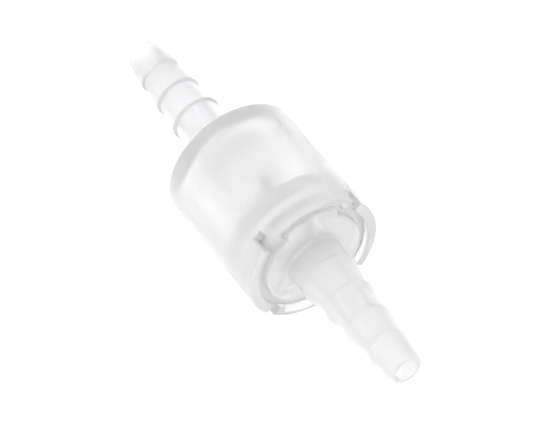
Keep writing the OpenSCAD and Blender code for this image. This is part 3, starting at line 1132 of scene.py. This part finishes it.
@dataclass
class ReturnSpring:
    """Compression spring of drawn wire with closed ends.

    Attributes:
        wire_d: Wire diameter.
        coil_r: Mean radius of the coils.
        open_coils: Coils between the closed ends.
        closed_coils: Coils lying against each other at each end.
        closed_share: Pitch of the closed coils, in wire diameters.
        travel: How far the poppet shortens it. Not used.
        sides: Points around the wire.
        steps: Rings of points a turn.
    """

    wire_d: float = 0.45
    coil_r: float = 3.2
    open_coils: float = 5.0
    closed_coils: float = 1.25
    closed_share: float = 1.08
    travel: float = 3.0
    sides: int = 14
    steps: int = 64

    def build(self) -> bpy.types.Object:
        """Makes the spring: a circle carried along a helix.

        A point is at radius coil_r + w cos b and station s + w sin b, where b turns around the wire,
        s climbs slowly in the closed coils and evenly between them, and the wire's radius w closes
        in a round end over the last stretch of its own radius.

        Returns:
            The new object.
        """
        low, high = (np.array(corner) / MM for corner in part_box("return_spring"))
        wire_r = self.wire_d / 2
        total = self.open_coils + 2 * self.closed_coils
        tip = wire_r / (2 * math.pi * self.coil_r)
        ends = tip * (1 - np.cos(np.linspace(0.12, 0.5, 5) * math.pi))
        even = np.arange(2 * tip, total - 2 * tip, 1 / self.steps)
        turn = np.concatenate([ends, even, total - ends[::-1]])
        closed_pitch = self.closed_share * self.wire_d
        start, finish = low[0] + wire_r, high[0] - wire_r
        rise = self.closed_coils * closed_pitch
        knots = [0, self.closed_coils, total - self.closed_coils, total]
        station = np.interp(turn, knots, [start, start + rise, finish - rise, finish])
        to_end = np.minimum(turn, total - turn)
        radius = wire_r * eased(to_end, tip)
        around = np.linspace(0, 2 * math.pi, self.sides, endpoint=False)
        r = self.coil_r + radius[:, None] * np.cos(around)
        x = station[:, None] + radius[:, None] * np.sin(around)
        angle = 2 * math.pi * turn[:, None]
        vertices = np.stack([x, r * np.cos(angle), r * np.sin(angle)], axis=-1).reshape(-1, 3)
        rings = np.arange(len(turn) - 1)
        pairs = np.stack([rings, rings + 1], axis=1)
        rows = np.arange(self.sides)
        faces = quads(pairs, rows, self.sides, (rows + 1) % self.sides).tolist()
        faces += [rows.tolist(), ((len(turn) - 1) * self.sides + rows[::-1]).tolist()]
        piece = make_piece("spring_wire", vertices, faces)
        fit_out(piece, "return_spring", "housing", SPRING_FINISH)
        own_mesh(piece)
        return piece


# ------------------------------------------------------------------ studio

@dataclass
class Studio:
    """White studio: floor, soft lights and a long-lens camera.

    Attributes:
        axis_tilt: How far the flow axis leans towards the camera, in degrees.
        axis_drop: How far the flow axis drops below the horizontal in the picture, in degrees.
        spin: Turn of the valve about its own axis, in degrees.
        distance: From the camera to the aim point, in mm.
        picture_width: Width of the picture at the aim point, in mm.
        aim_right: From the valve's middle to the picture's, to the right, in mm.
        aim_down: The same, downwards.
        aim_along: The same, along the flow.
        floor_z: Height of the floor, in mm.
        surround: Strength of the white surround far from the camera.
        dim: Strength of the surround on the camera's side.
        floor_glow: Strength of the light that the floor gives off.
    """

    axis_tilt: float = 33.98
    axis_drop: float = 50.16
    spin: float = 23.25
    distance: float = 795.0
    picture_width: float = 83.92
    aim_right: float = -0.14
    aim_down: float = 0.96
    aim_along: float = 0.845
    floor_z: float = -11.5
    surround: float = 1.31
    dim: float = 1.44
    floor_glow: float = 1.0

    def camera_axes(self) -> tuple[Vector, Vector, Vector]:
        """Works out where right, up and back point for the camera.

        Returns:
            The camera's right, up and back directions.
        """
        tilt = math.radians(self.axis_tilt)
        drop = math.radians(self.axis_drop)
        facing = math.radians(90 + self.spin)
        along = Vector((1, 0, 0))
        near = Vector((0, math.cos(facing), math.sin(facing)))
        across = Vector((0, math.sin(facing), -math.cos(facing)))
        back = math.sin(tilt) * along + math.cos(tilt) * near
        ahead = math.cos(tilt) * along - math.sin(tilt) * near
        right = math.cos(drop) * ahead + math.sin(drop) * across
        up = -math.sin(drop) * ahead + math.cos(drop) * across
        return right, up, back

    def build_camera(self) -> None:
        """Places the camera so that the valve lies across the picture."""
        right, up, back = self.camera_axes()
        aim = Vector((self.aim_along, 0, 0)) + right * self.aim_right - up * self.aim_down
        data = bpy.data.cameras.new("camera")
        data.sensor_width = 36
        data.lens = data.sensor_width * self.distance / self.picture_width
        data.clip_start = 0.01
        data.clip_end = 20
        camera = bpy.data.objects.new("camera", data)
        bpy.context.scene.collection.objects.link(camera)
        turn = Matrix((right, up, back)).transposed()
        camera.matrix_world = Matrix.Translation((aim + back * self.distance) * MM) @ turn.to_4x4()
        bpy.context.scene.camera = camera

    def build_surround(self) -> None:
        """Adds a white surround that dims evenly towards the side that the camera is on."""
        world = bpy.data.worlds.new("studio")
        world.use_nodes = True
        nodes = Nodes(world.node_tree)
        toward = tuple(self.camera_axes()[2])
        way = nodes.add("ShaderNodeTexCoord").outputs["Generated"]
        facing = nodes.add("ShaderNodeVectorMath", {0: way, 1: toward}, operation="DOT_PRODUCT").outputs["Value"]
        strength = nodes.ramp(facing, -0.2, 0.9, self.surround, self.dim)
        background = world.node_tree.nodes["Background"]
        background.inputs["Color"].default_value = (1, 1, 1, 1)
        world.node_tree.links.new(strength, background.inputs["Strength"])
        bpy.context.scene.world = world

    def build_floor(self) -> None:
        """Adds the pale, softly lit floor that the valve lies on."""
        half = 2.0
        z = self.floor_z * MM
        mesh = bpy.data.meshes.new("floor")
        mesh.from_pydata([(-half, -half, z), (half, -half, z), (half, half, z), (-half, half, z)], [], [(0, 1, 2, 3)])
        floor = bpy.data.objects.new("floor", mesh)
        bpy.context.scene.collection.objects.link(floor)
        material = bpy.data.materials.new("pale_floor")
        material.use_nodes = True
        shader = material.node_tree.nodes["Principled BSDF"]
        shader.inputs["Base Color"].default_value = (0.5, 0.5, 0.5, 1)
        shader.inputs["Roughness"].default_value = 0.8
        shader.inputs["Emission Color"].default_value = (1, 1, 1, 1)
        shader.inputs["Emission Strength"].default_value = self.floor_glow
        mesh.materials.append(material)

    def build(self) -> None:
        """Builds the whole studio."""
        self.build_camera()
        self.build_surround()
        self.build_floor()
        bpy.context.scene.view_settings.view_transform = "Standard"


def dress(node: bpy.types.Object, finish: Finish) -> None:
    """Gives a CAD node one finish."""
    node.data.materials.clear()
    node.data.materials.append(finish.build())
    LOG.info("%s: CAD mesh in %s", node.name, finish.slot.value)


def main() -> None:
    """Builds the valve and its studio."""
    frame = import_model()
    InletBody().build()
    OutletCap().build()
    Seals().build()
    ReturnSpring().build()
    dress(frame["nodes"]["poppet"], POPPET_FINISH)
    Studio().build()
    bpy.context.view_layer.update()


if __name__ == "__main__":
    logging.basicConfig(level=logging.INFO, format="%(name)s: %(message)s")
    main()
